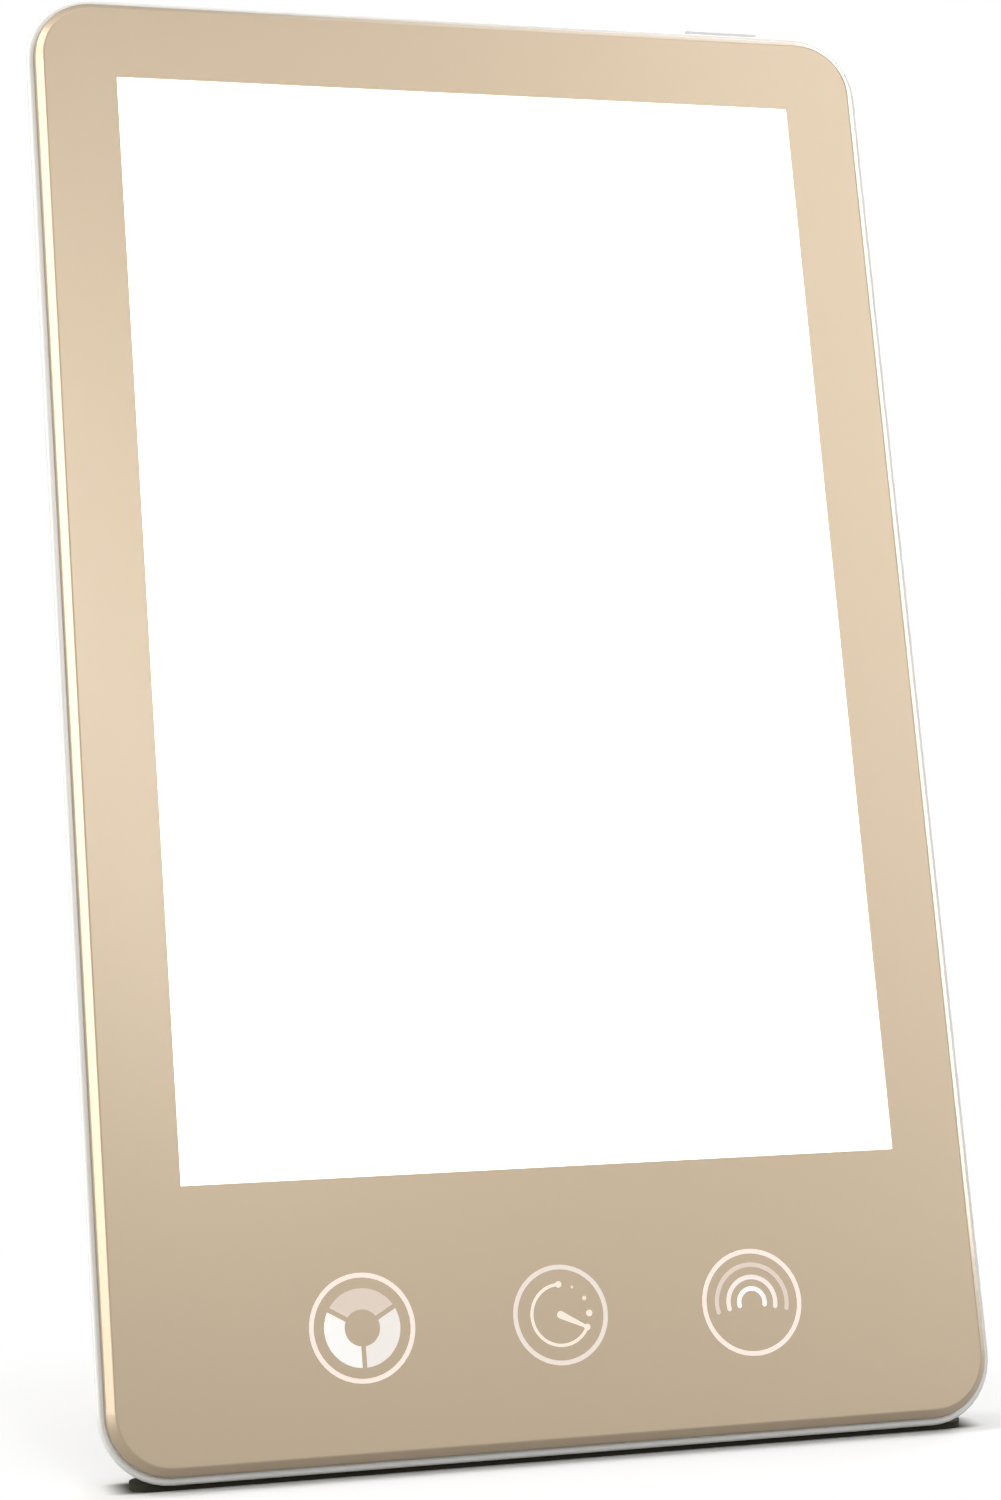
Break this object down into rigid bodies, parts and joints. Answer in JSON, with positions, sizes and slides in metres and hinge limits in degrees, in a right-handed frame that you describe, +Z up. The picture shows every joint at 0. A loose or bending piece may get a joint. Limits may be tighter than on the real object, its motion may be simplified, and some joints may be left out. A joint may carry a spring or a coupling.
{
  "type": "light therapy lamp",
  "caption": "Flat lit panel with a metallic bezel, touch keys and a top button, leaning back on a kickstand that folds into its rear shell.",
  "frame": {"origin": "on the table, below the middle of the whole lamp with its stand open", "axes": "+X to the right as the user sees the lamp, +Y from the user to the back, +Z up"},
  "size_m": [0.1696, 0.0842, 0.2704],
  "materials": {
    "bezel_gold": "moulded plastic with satin champagne-gold paint",
    "opal_acrylic": "opal acrylic, satin face, lit from behind",
    "clear_film": "clear prismatic film",
    "clear_acrylic": "clear acrylic",
    "white_film": "white reflector film",
    "bare_aluminium": "bare sheet",
    "circuit_board_white": "white solder mask",
    "circuit_board_green": "green solder mask",
    "led_phosphor": "yellow phosphor in a white package",
    "foam_grey": "closed-cell foam",
    "screw_steel": "zinc-plated",
    "chip_black": "moulded black resin",
    "ferrite_grey": "shielded ferrite",
    "capacitor_sleeve": "dark blue sleeve",
    "connector_ivory": "ivory nylon",
    "well_white": "white, opaque",
    "spring_steel": "plated spring wire",
    "legend_cream": "cream, flush with the bezel",
    "legend_white": "white to beige, flush with the bezel",
    "jack_black": "black nylon",
    "contact_nickel": "nickel-plated",
    "button_white": "satin pale grey",
    "plunger_white": "nylon",
    "lead_red": "soft insulation",
    "shell_white": "moulded, satin",
    "stand_white": "moulded, satin",
    "foot_rubber": "moulded, matt",
    "washer_nylon": "nylon"
  },
  "bodies": {
    "root": {"board_chips": "chip_black", "board_connectors": "connector_ivory", "board_screws": "screw_steel", "button_lead": "lead_red", "control_board": "circuit_board_green", "dc_jack": "jack_black", "dc_jack_pin": "contact_nickel", "diffuser_plate": "opal_acrylic", "foam_strips": "foam_grey", "front_bezel": "bezel_gold", "front_foot": "foot_rubber", "heat_tray": "bare_aluminium", "icon_leds": "led_phosphor", "key_icon_brightness": "legend_white", "key_icon_colour": "legend_white", "key_icon_timer": "legend_white", "key_ring_brightness": "legend_cream", "key_ring_colour": "legend_cream", "key_ring_timer": "legend_cream", "led_board_left": "circuit_board_white", "led_board_right": "circuit_board_white", "led_lead_left": "lead_red", "led_lead_right": "lead_red", "leds_left": "led_phosphor", "leds_right": "led_phosphor", "light_guide": "clear_acrylic", "light_wells": "well_white", "power_inductor": "ferrite_grey", "prism_film": "clear_film", "rear_shell": "shell_white", "reflector_sheet": "white_film", "shell_screws": "screw_steel", "smoothing_capacitors": "capacitor_sleeve", "stand_pins": "screw_steel", "stand_washers": "washer_nylon", "switch_board": "circuit_board_green", "tact_switch": "chip_black", "touch_spring_brightness": "spring_steel", "touch_spring_colour": "spring_steel", "touch_spring_timer": "spring_steel"},
    "power_button": {"power_button": "button_white", "tact_plunger": "plunger_white"},
    "stand": {"stand_leg": "stand_white", "stand_foot": "foot_rubber"}
  },
  "joints": [
    {"name": "button_press", "type": "slide", "parent": "root", "child": "power_button", "axis": [0, -0.2605, -0.9655], "range_m": [0, 0.0005], "stiffness_N_per_m": 2500},
    {"name": "stand_fold", "type": "hinge", "parent": "root", "child": "stand", "pos_m": [0, 0.00944, 0.14831], "axis": [-1, 0, 0], "range_deg": [0, 26.41]}
  ]
}
